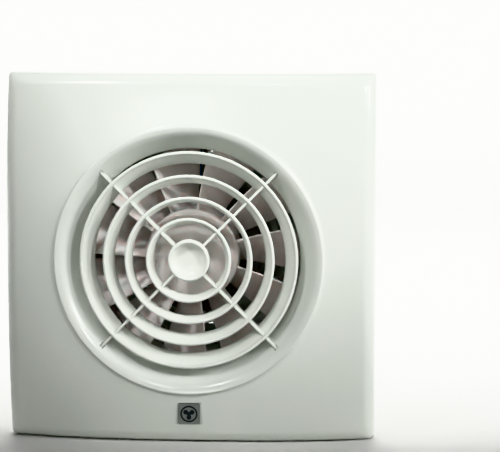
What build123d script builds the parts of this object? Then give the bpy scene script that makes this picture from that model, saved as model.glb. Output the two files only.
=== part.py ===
from build123d import *
from math import atan, cos, degrees, hypot, pi, radians, sin, sqrt, tan
import os

# Domestic axial extractor fan for a 100 mm duct, fixed to a wall.
# Millimetres.  The fan axis is the Y axis: the face looks towards -Y, the duct leaves
# towards +Y and +Z is up.  The origin is on the fan axis in the plane of the wall (y = 0).

# ---------------------------------------------------------------- driving dimensions

# front cover
COVER_SIZE = 158.0            # width and height of the square cover
COVER_DEPTH = 26.5            # wall plane to the crown of the cover and of its bezel
COVER_WALL = 2.2              # thickness of the cover's wall
COVER_CORNER = 2.0            # corner radius seen from the front
COVER_EDGE_ROUND = 4.5        # rounding where the face meets the sides
SIDE_DROP = 4.5               # how far the face has fallen away at the middle of a side
CORNER_DROP = 5.5             # further fall at a corner, on top of both sides' falls

# bezel round the air inlet
BEZEL_MARGIN = 8.0            # outside of the bezel's lip, beyond the outside of the duct tube
LIP_WIDTH = 4.6               # radial width of the rounded lip
LIP_ROUND = 0.6               # round of the lip's crown and outer edge
FUNNEL_DROP = 2.3             # inner edge of the lip, where the funnel starts
BEZEL_WALL = 2.0

# ring grille
RING_OUTER = (0.387, 0.581, 0.779, 0.991)   # front edge of each louvre ring, share of the throat
RING_INNER = (0.328, 0.521, 0.687, 0.868)   # inner back edge of each louvre ring, likewise
RING_SETBACK = 1.7            # front edge of the rings, behind the cover's crown
RING_DEPTH = 8.2
RING_THICK = 1.5
DISH_RADIUS = 8.8             # central dish
SPOKE_THICK = 1.1
SPOKE_SETBACK = 0.8           # front of the spokes, behind the rings' front
SPOKE_DEPTH = 5.8
SPOKE_ANGLES = (45, 135, 225, 315)
SPOKE_INSERT = 1.0            # how far a spoke's end plugs into the bezel

# badge
BADGE_SIZE = 9.2
BADGE_THICK = 0.9
BADGE_RISE = 13.0             # middle of the badge, above the cover's lower edge
BADGE_PROUD = 0.3

# base plate
PLATE_INSET = 1.5             # edge strip, in from the cover's side
PLATE_THICK = 2.5
RIM_HEIGHT = 4.0              # edge strip that shows behind the cover
UPSTAND_HEIGHT = 9.0          # inner wall that locates the cover
UPSTAND_WALL = 2.0
SCREW_SPACING_X = 134.0       # wall fixing holes
SCREW_SPACING_Z = 100.0
SCREW_HOLE = 2.25
PEG_X = 62.0                  # push pegs that hold the cover
PEG_Z = 32.0
PEG_RADIUS = 3.0
SOCKET_WALL = 1.8
SOCKET_LENGTH = 6.0           # of a peg's socket in front of the upstand
LATCH_Z = -31.0
LATCH_WIDTH = 13.0
LATCH_SLIT = 1.4
LATCH_DEPTH = 3.0

# duct tube
TUBE_RADIUS = 49.5            # outside of the spigot, where the duct slips on
TUBE_WALL = 2.5
TUBE_LENGTH = 82.5            # behind the wall plane
INLET_FRONT = -14.0           # front edge of the tube, inside the cover
ROOT_STEP = 0.4               # the tube's root is thicker by this
ROOT_LENGTH = 50.0            # shoulder of the root, behind the wall plane
RIB_PROUD = 1.4
RIB_WIDTH = 8.0
RIB_LENGTH = 48.0
RIB_RAMP = 2.5                # slope at the end of a rib
RIB_ANGLES = (90, -8, 188)
RIB_RELIEF = 0.5              # recess in the plate's back that the ribs start from

# impeller
BLADE_COUNT = 11
TIP_GAP = 1.5                 # blade tips to the tube
HUB_RADIUS = 20.0
HUB_WALL = 1.6
HUB_NOSE = -12.0              # front of the hub's dome
BLADE_FRONT = -6.0
BLADE_BACK = 12.0
BLADE_THICK = 1.5
BLADE_CHORD = 0.8             # share of the pitch that a blade covers, seen from the front
FIRST_BLADE = 9.0             # leading edge of the first blade, clockwise from the top

# motor
SHAFT_RADIUS = 2.5
MOTOR_RADIUS = 28.0
MOTOR_FRONT = 16.0
MOTOR_SPLIT = 34.0            # plane where the two half shells meet
MOTOR_BACK = 54.0
SHELL_WALL = 1.6
STACK_FRONT = 26.5            # stator and rotor laminations
STACK_LENGTH = 14.0
ROTOR_RADIUS = 12.0
AIR_GAP = 0.4
STATOR_RING = 2.8             # radial width of the stator's yoke
SHOE_THICK = 2.8
NECK_HALF = 6.0               # half width of a pole's neck
BEARING_RADIUS = 8.0
BEARING_WIDTH = 5.0
BALL_RADIUS = 1.6
BALL_COUNT = 7
BEARING_SHOULDER = 0.8        # step in front of a bearing's seat
CAGE_BARS = 12
BAR_RADIUS = 1.0
SHOE_SPAN = 62.0              # half the angle that a pole shoe covers
SHADE_OFFSET = 12.0           # shading turn, back from the tip of its shoe
SHADE_WIDTH = 5.4
SHADE_BAR = 1.2
BOBBIN_HALF = 10.4            # half the height of a bobbin's flanges
BOBBIN_FLANGE = 0.7
BOBBIN_WALL = 1.2
BOBBIN_OVERHANG = 5.0         # flanges, past the ends of the stack
EAR_RADIUS = 3.6
EAR_LENGTH = 4.0
EAR_OUT = 3.0                 # tie screws, out from the motor's side

# cradle that carries the motor in the tube
MOUNT_GAP = 3.5               # room for the rubber mounts round the motor
CRADLE_WALL = 2.5
CRADLE_FRONT = 45.0
CRADLE_LENGTH = 10.0
ARM_THICK = 3.0
ARM_ANGLES = (90, 210, 330)
MOUNT_ANGLES = (30, 150, 270)
MOUNT_HALF_ANGLE = 12.0

# wiring
LEAD_RADIUS = 0.9
LEAD_OFFSET = 1.3             # half the spacing of the two leads in their channel
LEAD_BEND = 4.5
LEAD_Y = -7.5                 # height of the leads and of the terminals above the wall
LEAD_EXIT = 42.6              # where the leads leave the motor
CHANNEL_WIDTH = 5.4
TERMINAL_Z = (60.0, 67.5)
BLOCK_X = 9.0                 # near end of the terminal block
BLOCK_SIZE = (20.0, 12.0, 15.5)
CLAMP_X = 38.0
CLAMP_HALF = 6.5              # half the distance between the clamp's screws
CABLE_RADIUS = 3.5
GROMMET_X = 54.0
GROMMET_Z = 64.0
GROMMET_HOLE = 8.0
GROMMET_REBATE = 1.6          # wider stretch of the hole at the wall
GROMMET_STEP = -1.0           # front of that stretch
GROMMET_LENGTH = 6.0
CLAMP_BOSS = 2.8
CLAMP_BAR = 2.2               # thickness of the clamp's bar
LID_WALL = 1.2
BUSH_HALF = 1.8               # half the length of the leads' bush

# screws: head radius, head height and shank radius
CLAMP_SCREW = (2.4, 1.8, 1.0)
TERMINAL_SCREW = (1.6, 1.8, 1.2)
LID_SCREW = (2.4, 1.6, 1.0)
TIE_SCREW = (2.4, 1.8, 1.15)

# back-draught shutter
SHUTTER_Y = 65.0              # hinge pin
FLAP_THICK = 1.2
PIN_RADIUS = 1.0
PIN_BOSS_DEPTH = 4.5          # how far a socket of the pin stands into the tube
PIN_BOSS_HALF = 3.0           # half its width
PIN_BOSS_BACK = 2.4           # and its end behind the pin
KNUCKLE_RADIUS = 2.2
KNUCKLE_START = 4.0           # nearest knuckles, from the middle of the pin
LEDGE_WIDTH = 2.5
LEDGE_THICK = 2.0

# clearances
RUNNING = 0.06                # pins in knuckles
SLIP = 0.3                    # parts that slide or swing past each other
SEAT = 0.02                   # pressed seats of bearings and shaft
LOOSE = 0.2                   # fixed parts that drop into place

# ---------------------------------------------------------------- worked out from those

HALF = COVER_SIZE / 2
PLATE_HALF = HALF - PLATE_INSET
BADGE_DROP = HALF - BADGE_RISE            # below the fan axis
BEZEL_RADIUS = TUBE_RADIUS + BEZEL_MARGIN
TUBE_INNER = TUBE_RADIUS - TUBE_WALL
TIP_RADIUS = TUBE_INNER - TIP_GAP
CRADLE_INNER = MOTOR_RADIUS + MOUNT_GAP
EAR_PITCH = MOTOR_RADIUS + EAR_OUT
RING_FRONT = -COVER_DEPTH + RING_SETBACK
SPOKE_FRONT = RING_FRONT + SPOKE_SETBACK
SPOKE_BACK = SPOKE_FRONT + SPOKE_DEPTH
THROAT_RADIUS = TUBE_INNER
LIP_INNER = BEZEL_RADIUS - LIP_WIDTH
WALL_FRONT = -COVER_DEPTH + FUNNEL_DROP   # where the lip turns into the funnel
WALL_BACK = INLET_FRONT - 0.8             # back edge of the funnel
SKIRT_BACK = -RIM_HEIGHT - LOOSE
SKIRT_INNER = HALF - COVER_WALL
UPSTAND_OUTER = SKIRT_INNER - 2 * SLIP
PLATE_FRONT = -PLATE_THICK
STACK_BACK = STACK_FRONT + STACK_LENGTH
CAVITY_RADIUS = MOTOR_RADIUS - SHELL_WALL
YOKE_OUTER = CAVITY_RADIUS - LOOSE
YOKE_INNER = YOKE_OUTER - STATOR_RING
SHOE_INNER = ROTOR_RADIUS + AIR_GAP
SHOE_OUTER = SHOE_INNER + SHOE_THICK
BEARING_SEAT = SHELL_WALL + BEARING_SHOULDER
FRONT_BEARING = MOTOR_FRONT + BEARING_SEAT
REAR_BEARING = MOTOR_BACK - BEARING_SEAT - BEARING_WIDTH
FLAP_RADIUS = TUBE_INNER - 2 * SLIP
BLADE_TURN = 360 / BLADE_COUNT
PEG_END = -UPSTAND_HEIGHT                 # free end of a peg
SOCKET_FRONT = PEG_END - SOCKET_LENGTH
ROOT_RADIUS = TUBE_RADIUS + ROOT_STEP
CLAMP_Z = sum(TERMINAL_Z) / 2             # middle of the block and of the clamp
CLAMP_SEAT = PLATE_FRONT - 2 * CABLE_RADIUS
TERMINAL_X = (BLOCK_X + 4.0, BLOCK_X + BLOCK_SIZE[0] - 4.0)
LEAD_CHANNEL = TUBE_INNER + 0.5 + LEAD_RADIUS
HUB_BOSS = SHAFT_RADIUS + 3.0
SHAFT_FRONT = BLADE_FRONT
SHAFT_BACK = REAR_BEARING + BEARING_WIDTH
BALL_PITCH = (BEARING_RADIUS + SHAFT_RADIUS) / 2
OUTER_TRACK = BALL_PITCH + BALL_RADIUS + RUNNING
INNER_TRACK = BALL_PITCH - BALL_RADIUS - RUNNING
SHADE_ANGLE = SHOE_SPAN - SHADE_OFFSET
BOBBIN_INNER = SHOE_OUTER + LOOSE
BOBBIN_OUTER = sqrt(YOKE_INNER**2 - BOBBIN_HALF**2) - SLIP
BAR_PITCH = ROTOR_RADIUS - 1.9
PIN_REACH = TUBE_INNER - 1.0              # half the length of the pin's bore
BOSS_INNER = TUBE_INNER - PIN_BOSS_DEPTH
KNUCKLE_END = BOSS_INNER - 1.5
KNUCKLE_MEET = (KNUCKLE_START + KNUCKLE_END) / 2
RIGHT_KNUCKLES = ((KNUCKLE_START, KNUCKLE_MEET - SLIP / 2), (-KNUCKLE_END, -KNUCKLE_MEET - SLIP / 2))
LEFT_KNUCKLES = ((KNUCKLE_MEET + SLIP / 2, KNUCKLE_END), (-KNUCKLE_MEET + SLIP / 2, -KNUCKLE_START))
FLAP_FRONT = SHUTTER_Y - FLAP_THICK / 2
LEDGE_BACK = FLAP_FRONT - SLIP


# ---------------------------------------------------------------- shapes used throughout

def block(x0, x1, y0, y1, z0, z1):
    """A box between two corners."""
    centre = Pos((x0 + x1) / 2, (y0 + y1) / 2, (z0 + z1) / 2)
    return centre * Box(x1 - x0, y1 - y0, z1 - z0)


def rod(radius, y0, y1, x=0, z=0):
    """A cylinder along Y."""
    return Pos(x, (y0 + y1) / 2, z) * Rot(90, 0, 0) * Cylinder(radius, y1 - y0)


def tube(outer, inner, y0, y1, x=0, z=0):
    """A tube along Y."""
    return rod(outer, y0, y1, x, z) - rod(inner, y0 - 1, y1 + 1, x, z)


def turned(points):
    """A closed outline of (radius, y) points turned about the fan axis."""
    return revolve(make_face(Polyline(*points, close=True)), Axis.Y)


def turn_to(angle, shape):
    """Turn a shape made on +X about the fan axis, counted from +X towards +Z."""
    return Rot(0, -angle, 0) * shape


def around(radius, angle):
    """Point (x, z) at a radius and an angle counted from +X towards +Z."""
    return radius * cos(radians(angle)), radius * sin(radians(angle))


def wedge(radius, start, end, y0, y1):
    """A pie slice about the fan axis, its angles counted from +X towards +Z."""
    middle = (start + end) / 2
    reach = radius / cos(radians((end - start) / 2))
    points = [(0, 0), around(reach, start), around(1.2 * reach, middle), around(reach, end)]
    slice_face = make_face(Polyline(*[(x, 0, z) for x, z in points], close=True))
    return Pos(0, y0, 0) * extrude(slice_face, amount=y1 - y0, dir=(0, 1, 0))


def union(shapes):
    """Join a list of shapes."""
    joined = shapes[0]
    for shape in shapes[1:]:
        joined = joined + shape
    return joined


def screw(kind, y_head, length, x, z):
    """A cross-slotted screw driven towards +Y, its head's underside at y_head."""
    head_radius, head_height, shank_radius = kind
    head = rod(head_radius, y_head - head_height, y_head, x, z)
    shank = rod(shank_radius, y_head, y_head + length, x, z)
    slot_half = 0.7 * head_radius
    slot_top = y_head - head_height
    slot_floor = slot_top + 0.45 * head_height
    wide = 0.3
    slots = [block(x - slot_half, x + slot_half, slot_top - 1, slot_floor, z - wide, z + wide),
             block(x - wide, x + wide, slot_top - 1, slot_floor, z - slot_half, z + slot_half)]
    return head + shank - slots


# ---------------------------------------------------------------- front cover

def dome_height(x, z):
    """Depth of the cover's face in front of the wall."""
    fall = SIDE_DROP * (x**4 + z**4) + CORNER_DROP * x**2 * z**2
    return COVER_DEPTH - fall / HALF**4


def dome_solid(reach, setback):
    """Everything behind the domed face, which is moved back by the setback.

    The face is a polynomial of degree 4 in x and in z, so one Bezier patch of degree 4
    holds it exactly.  On a span from -reach to reach the control values of x, x^2 and
    x^4 follow from their polar forms.
    """
    steps = range(5)
    line = [reach * (i / 2 - 1) for i in steps]
    square = [reach**2 * ((2 * i - 4) ** 2 - 4) / 12 for i in steps]
    fourth = [reach**4 * (-1) ** i for i in steps]
    rows = []
    for i in steps:
        row = []
        for k in steps:
            fall = SIDE_DROP * (fourth[i] + fourth[k]) + CORNER_DROP * square[i] * square[k]
            row.append(Vector(line[i], setback - COVER_DEPTH + fall / HALF**4, line[k]))
        rows.append(row)
    return Solid.extrude(Face.make_bezier_surface(rows), Vector(0, COVER_DEPTH + 10, 0))


def square_prism(half, corner, y0, y1):
    """A square block with rounded corners about the fan axis."""
    body = block(-half, half, y0, y1, -half, half)
    return fillet(body.edges().filter_by(Axis.Y), corner)


def bezel_profile():
    """Outline of the bezel's wall: rounded lip, funnel, then back along the inside."""
    crown = (BEZEL_RADIUS - LIP_ROUND, -COVER_DEPTH)
    lip_out = (BEZEL_RADIUS, -COVER_DEPTH + LIP_ROUND)
    lip_in = (LIP_INNER, WALL_FRONT)
    round_over = RadiusArc(lip_out, crown, LIP_ROUND)
    swell = ((crown[0] + lip_in[0]) / 2 - 0.2, (crown[1] + lip_in[1]) / 2 - 0.35)
    slope = ThreePointArc(crown, swell, lip_in)
    # a foot joins the lip to the domed wall round it
    foot = BEZEL_RADIUS + 1.0
    foot_back = WALL_FRONT + 0.6
    rest = Polyline(lip_in, (THROAT_RADIUS, WALL_BACK), (THROAT_RADIUS + BEZEL_WALL, WALL_BACK),
                    (LIP_INNER + BEZEL_WALL, foot_back), (foot, foot_back),
                    (foot, -COVER_DEPTH + 1.9), lip_out)
    return make_face([round_over, slope, rest])


def spoke_plate(grow):
    """One spoke on +X, with its end cut parallel to the funnel; grow makes its slot."""
    slope = (LIP_INNER - THROAT_RADIUS) / (WALL_BACK - WALL_FRONT)
    tips = []
    for y in (SPOKE_FRONT - grow, SPOKE_BACK + grow):
        tips.append((LIP_INNER - slope * (y - WALL_FRONT) + SPOKE_INSERT + grow, y))
    start = DISH_RADIUS - 1.0
    outline = [(start, tips[0][1]), tips[0], tips[1], (start, tips[1][1])]
    face = make_face(Polyline(*outline, close=True))
    half = SPOKE_THICK / 2 + grow
    return Pos(0, 0, -half) * extrude(face, amount=2 * half, dir=(0, 0, 1))


def badge_place():
    """Middle of the badge on the face, tilted to lie square to it."""
    slope = 4 * SIDE_DROP * BADGE_DROP**3 / HALF**4
    tilt = Rot(degrees(atan(slope)), 0, 0)
    return Pos(0, -dome_height(0, BADGE_DROP), -BADGE_DROP) * tilt


def front_cover():
    """Domed square cover with its bezel, push pegs and badge pocket."""
    outside = dome_solid(HALF + 1, 0) & block(-HALF, HALF, -COVER_DEPTH - 1, SKIRT_BACK, -HALF, HALF)
    rim = [edge for edge in outside.edges() if edge.length > HALF and (edge @ 0.5).Y < SKIRT_BACK - 1]
    outside = fillet(rim, COVER_EDGE_ROUND)
    outside = outside & square_prism(HALF, COVER_CORNER, -COVER_DEPTH - 1, 1)
    hollow = dome_solid(HALF + 1, COVER_WALL)
    hollow = hollow & square_prism(SKIRT_INNER, COVER_CORNER, -COVER_DEPTH, 1)
    shell = outside - hollow - rod(BEZEL_RADIUS, -COVER_DEPTH - 1, 1)
    shell = shell + revolve(bezel_profile(), Axis.Y)
    peg_front = COVER_WALL / 2 - dome_height(PEG_X, PEG_Z)
    for x in (-PEG_X, PEG_X):
        for z in (-PEG_Z, PEG_Z):
            shell = shell + rod(PEG_RADIUS, peg_front, PEG_END, x, z)
    for angle in SPOKE_ANGLES:
        shell = shell - turn_to(angle, spoke_plate(LOOSE))
    pocket_size = BADGE_SIZE + LOOSE
    pocket = Box(pocket_size, 2 * (BADGE_THICK - BADGE_PROUD), pocket_size)
    return shell - badge_place() * pocket


def ring_grille():
    """Dish, four louvre rings that flare towards the front, and four spokes."""
    back = RING_FRONT + RING_DEPTH
    outlines = []
    for outer_share, inner_share in zip(RING_OUTER, RING_INNER):
        outer, inner = outer_share * THROAT_RADIUS, inner_share * THROAT_RADIUS
        outlines.append([(outer, RING_FRONT + 0.5), (outer - 0.5, RING_FRONT),
                         (outer - RING_THICK, RING_FRONT + 0.4), (inner, back - 0.4),
                         (inner + 0.5, back), (inner + RING_THICK, back)])
    floor = RING_FRONT + 3.2
    lip = DISH_RADIUS - 1.5
    outlines.append([(0, floor), (lip - 1.4, floor - 0.4), (lip, RING_FRONT + 0.2),
                     (lip + 0.6, RING_FRONT - 0.2), (DISH_RADIUS, RING_FRONT + 0.2),
                     (DISH_RADIUS - 0.4, floor + 2.0), (0, floor + 1.6)])
    grille = union([turned(outline) for outline in outlines])
    return union([grille] + [turn_to(angle, spoke_plate(0)) for angle in SPOKE_ANGLES])


def badge_plate():
    """Small square plate let into the cover below the inlet."""
    plate = Box(BADGE_SIZE, BADGE_THICK, BADGE_SIZE)
    plate = fillet(plate.edges().filter_by(Axis.Y), 0.8)
    return badge_place() * Pos(0, BADGE_THICK / 2 - BADGE_PROUD, 0) * plate


def badge_emblem():
    """Raised propeller sign in a ring on the badge."""
    front = -0.15
    ring = tube(0.4 * BADGE_SIZE, 0.33 * BADGE_SIZE, front, 0)
    blade_x = 0.17 * BADGE_SIZE
    blades = [Rot(0, 90 + turn, 0) * rod(0.11 * BADGE_SIZE, front, 0, blade_x) for turn in (0, 120, 240)]
    centre = rod(0.1 * BADGE_SIZE, front, 0)
    joined = union([centre] + blades)
    return Compound(children=[badge_place() * Pos(0, -BADGE_PROUD, 0) * shape for shape in (ring, joined)])


# ---------------------------------------------------------------- base, duct tube and cradle

def base_plate():
    """Wall plate with its edge strip, the upstand inside the cover, sockets and holes."""
    half = PLATE_HALF
    inside = UPSTAND_OUTER - UPSTAND_WALL
    body = square_prism(half, COVER_CORNER, -RIM_HEIGHT, 0)
    body = body + square_prism(UPSTAND_OUTER, COVER_CORNER, -UPSTAND_HEIGHT, -RIM_HEIGHT)
    body = body - block(-inside, inside, -UPSTAND_HEIGHT - 1, PLATE_FRONT, -inside, inside)
    for x in (-PEG_X, PEG_X):
        for z in (-PEG_Z, PEG_Z):
            body = body + rod(PEG_RADIUS + SLIP + SOCKET_WALL, SOCKET_FRONT, PLATE_FRONT, x, z)
            body = body - rod(PEG_RADIUS + SLIP, SOCKET_FRONT - 1, PLATE_FRONT, x, z)
    pilot = CLAMP_SCREW[2] + 0.1
    for z in (CLAMP_Z - CLAMP_HALF, CLAMP_Z + CLAMP_HALF):
        body = body + rod(CLAMP_BOSS, CLAMP_SEAT, PLATE_FRONT + 0.5, CLAMP_X, z)
        body = body - rod(pilot, CLAMP_SEAT - 1, CLAMP_SEAT + 6, CLAMP_X, z)
    body = body - rod(ROOT_RADIUS, SOCKET_FRONT - 1, 1)
    body = body - rod(TUBE_RADIUS + RIB_PROUD + SLIP, -RIB_RELIEF, 1)
    for x in (-SCREW_SPACING_X / 2, SCREW_SPACING_X / 2):
        for z in (-SCREW_SPACING_Z / 2, SCREW_SPACING_Z / 2):
            body = body - rod(SCREW_HOLE, -RIM_HEIGHT - 1, 1, x, z)
        side = half if x > 0 else -half
        for slit in (LATCH_Z - LATCH_WIDTH / 2, LATCH_Z + LATCH_WIDTH / 2):
            body = body - block(side - LATCH_DEPTH, side + LATCH_DEPTH, -RIM_HEIGHT - 1, 1,
                                slit - LATCH_SLIT / 2, slit + LATCH_SLIT / 2)
    body = body - rod(GROMMET_HOLE, -RIM_HEIGHT, 1, GROMMET_X, GROMMET_Z)
    body = body - rod(GROMMET_HOLE + GROMMET_REBATE, GROMMET_STEP, 1, GROMMET_X, GROMMET_Z)
    return body - rod(LID_SCREW[2] + 0.1, PLATE_FRONT - 1, -0.6, BLOCK_X + BLOCK_SIZE[0] / 2, CLAMP_Z)


def duct_tube():
    """Inlet ring and duct spigot in one tube, with ribs, shutter ledge and pin sockets."""
    body = rod(TUBE_RADIUS, INLET_FRONT, TUBE_LENGTH)
    body = chamfer(body.edges().filter_by(GeomType.CIRCLE).sort_by(Axis.Y)[-1], 0.8)
    shoulder = ROOT_LENGTH + 3 * ROOT_STEP
    body = body + turned([(0, INLET_FRONT), (ROOT_RADIUS, INLET_FRONT), (ROOT_RADIUS, ROOT_LENGTH),
                          (TUBE_RADIUS, shoulder), (0, shoulder)])
    for angle in RIB_ANGLES:
        top = TUBE_RADIUS + RIB_PROUD
        outline = [(TUBE_INNER, -RIB_RELIEF), (top, -RIB_RELIEF), (top, RIB_LENGTH),
                   (TUBE_INNER, RIB_LENGTH + RIB_RAMP)]
        rib = extrude(make_face(Polyline(*outline, close=True)), amount=RIB_WIDTH, dir=(0, 0, 1))
        body = body + turn_to(angle, Pos(0, 0, -RIB_WIDTH / 2) * rib)
    body = body - rod(TUBE_INNER, INLET_FRONT - 1, TUBE_LENGTH + 1)

    # channel for the motor leads, let into the wall under the top rib
    wide = CHANNEL_WIDTH / 2
    floor = LEAD_CHANNEL + LEAD_RADIUS + 0.4
    body = body - block(-wide, wide, LEAD_Y + LEAD_BEND - 1.5, LEAD_EXIT + 3, TUBE_INNER - 2, floor)
    body = body - block(-wide, wide, INLET_FRONT - 1, PLATE_FRONT - 0.5, TUBE_INNER - 2, ROOT_RADIUS + 1)

    # ledge that the flaps close on, and the two sockets of their hinge pin
    ledge_front = LEDGE_BACK - LEDGE_THICK
    body = body + tube(TUBE_INNER + 1, TUBE_INNER - LEDGE_WIDTH, ledge_front, LEDGE_BACK)
    for side in (-1, 1):
        low, high = sorted((side * BOSS_INNER, side * (TUBE_INNER + 1)))
        body = body + block(-PIN_BOSS_HALF, PIN_BOSS_HALF, ledge_front, SHUTTER_Y + PIN_BOSS_BACK, low, high)
    pin_hole = Pos(0, SHUTTER_Y, 0) * Cylinder(PIN_RADIUS + SEAT, 2 * PIN_REACH)
    return body - pin_hole


def motor_cradle():
    """Ring that carries the motor, on three arms from the duct tube."""
    outer = CRADLE_INNER + CRADLE_WALL
    back = CRADLE_FRONT + CRADLE_LENGTH
    body = tube(outer, CRADLE_INNER, CRADLE_FRONT, back)
    for angle in ARM_ANGLES:
        arm = block(outer - 1, TUBE_INNER + 1, CRADLE_FRONT + 1, back - 1, -ARM_THICK / 2, ARM_THICK / 2)
        body = body + turn_to(angle, arm & rod(TUBE_INNER, CRADLE_FRONT, back))
    return body


def cable_grommet():
    """Rubber grommet that the mains cable passes through."""
    hole = GROMMET_HOLE
    collar = hole + 1.8
    flange = hole + GROMMET_REBATE - SLIP
    outline = [(CABLE_RADIUS, -GROMMET_LENGTH), (hole - 1.5, -GROMMET_LENGTH), (collar, PLATE_FRONT - 1.0),
               (collar, PLATE_FRONT), (hole, PLATE_FRONT), (hole, GROMMET_STEP), (flange, GROMMET_STEP),
               (flange, 0), (CABLE_RADIUS, 0)]
    return Pos(GROMMET_X, 0, GROMMET_Z) * turned(outline)


def cable_clamp():
    """Bridge that holds the mains cable down on the plate."""
    half = CLAMP_HALF + 3.2
    x0, x1 = CLAMP_X - 3.5, CLAMP_X + 3.5
    bar = block(x0, x1, CLAMP_SEAT - CLAMP_BAR, CLAMP_SEAT, CLAMP_Z - half, CLAMP_Z + half)
    saddle_half = 2.6
    saddle = block(x0, x1, CLAMP_SEAT - 0.1, CLAMP_SEAT + 1.2, -saddle_half, saddle_half)
    bar = bar + Pos(0, 0, CLAMP_Z) * saddle
    for z in (CLAMP_Z - CLAMP_HALF, CLAMP_Z + CLAMP_HALF):
        bar = bar - rod(CLAMP_SCREW[2] + 0.4, CLAMP_SEAT - 4, CLAMP_SEAT + 1, CLAMP_X, z)
    return bar


def clamp_screws():
    """Two screws of the cable clamp."""
    seat = CLAMP_SEAT - CLAMP_BAR
    heights = (CLAMP_Z - CLAMP_HALF, CLAMP_Z + CLAMP_HALF)
    return Compound(children=[screw(CLAMP_SCREW, seat, 7.0, CLAMP_X, z) for z in heights])


def terminal_block():
    """Two-pole block: a wire hole along X and two screw wells for each pole."""
    wide, tall, high = BLOCK_SIZE
    front = PLATE_FRONT - tall
    body = block(BLOCK_X, BLOCK_X + wide, front, PLATE_FRONT, CLAMP_Z - high / 2, CLAMP_Z + high / 2)
    for z in TERMINAL_Z:
        wire_hole = Pos(BLOCK_X + wide / 2, LEAD_Y, z) * Rot(0, 90, 0) * Cylinder(1.7, wide + 2)
        body = body - wire_hole
        for x in TERMINAL_X:
            body = body - rod(TERMINAL_SCREW[0] + LOOSE, front - 1, LEAD_Y, x, z)
    return body - rod(LID_SCREW[2] + SLIP, front - 1, 1, BLOCK_X + wide / 2, CLAMP_Z)


def terminal_screws():
    """Four brass screws that grip the wires."""
    length = 2.2
    head = LEAD_Y - LEAD_RADIUS - LOOSE - length
    places = [(x, z) for x in TERMINAL_X for z in TERMINAL_Z]
    return Compound(children=[screw(TERMINAL_SCREW, head, length, x, z) for x, z in places])


def terminal_cover():
    """Lid over the terminals, open at the back and where the wires pass."""
    wide, tall, high = BLOCK_SIZE
    x0, x1 = BLOCK_X - LOOSE, BLOCK_X + wide + LOOSE
    z0, z1 = CLAMP_Z - high / 2 - LOOSE, CLAMP_Z + high / 2 + LOOSE
    front = PLATE_FRONT - tall - LOOSE
    wall = LID_WALL
    lid = block(x0 - wall, x1 + wall, front - wall, LEAD_Y + 3, z0 - wall, z1 + wall)
    lid = lid - block(x0, x1, front, 0, z0, z1)
    slot_low, slot_high = TERMINAL_Z[0] - 2, TERMINAL_Z[1] + 2
    lid = lid - block(x0 - 3, x1 + 3, LEAD_Y - 2, LEAD_Y + 4, slot_low, slot_high)
    return lid - rod(LID_SCREW[2] + 0.5, front - 3, 0, BLOCK_X + wide / 2, CLAMP_Z)


def terminal_cover_screw():
    """Screw through the lid and the block into the plate."""
    seat = PLATE_FRONT - BLOCK_SIZE[1] - LOOSE - LID_WALL
    return screw(LID_SCREW, seat, -seat - 1.0, BLOCK_X + BLOCK_SIZE[0] / 2, CLAMP_Z)


def motor_lead(x, z):
    """A lead from the motor, along its channel in the tube and up to a terminal."""
    route = [(x, LEAD_EXIT, MOTOR_RADIUS - 4), (x, LEAD_EXIT, LEAD_CHANNEL), (x, LEAD_Y, LEAD_CHANNEL),
             (x, LEAD_Y, z), (BLOCK_X + 5, LEAD_Y, z)]
    path = FilletPolyline(*route, radius=LEAD_BEND)
    section = Plane(origin=route[0], z_dir=(0, 0, 1)) * Circle(LEAD_RADIUS)
    return sweep(section, path=path)


def lead_grommet():
    """Insulating bush where the two leads leave the motor."""
    wide = CHANNEL_WIDTH / 2
    y0, y1 = LEAD_EXIT - BUSH_HALF, LEAD_EXIT + BUSH_HALF
    bush = block(-wide, wide, y0, y1, MOTOR_RADIUS - 3, MOTOR_RADIUS + 1.5)
    for x in (-LEAD_OFFSET, LEAD_OFFSET):
        bush = bush - Pos(x, LEAD_EXIT, MOTOR_RADIUS) * Cylinder(LEAD_RADIUS + SEAT, 12)
    return bush


# ---------------------------------------------------------------- impeller

def blade_section(distance):
    """Closed outline of a blade in a plane at a distance from the fan axis.

    Along the chord the blade turns evenly about the axis while it runs back, so every
    point of it lies on a straight line from the axis and two outlines rule the blade.
    """
    length = BLADE_BACK - BLADE_FRONT
    near, far = [], []
    steps = 8
    for step in range(steps + 1):
        share = step / steps
        angle = radians(BLADE_CHORD * BLADE_TURN * (share - 0.5))
        camber = 0.10 * length * sin(pi * share)
        y = BLADE_FRONT + length * share + camber
        half = BLADE_THICK * (0.28 + 0.9 * sqrt(share * (1 - share)))
        near.append((distance, y - half, distance * tan(angle)))
        far.append((distance, y + half, distance * tan(angle)))
    sides = [Spline(*near), Line(near[-1], far[-1]), Spline(*far), Line(far[0], near[0])]
    return Face(Wire(sides))


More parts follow.
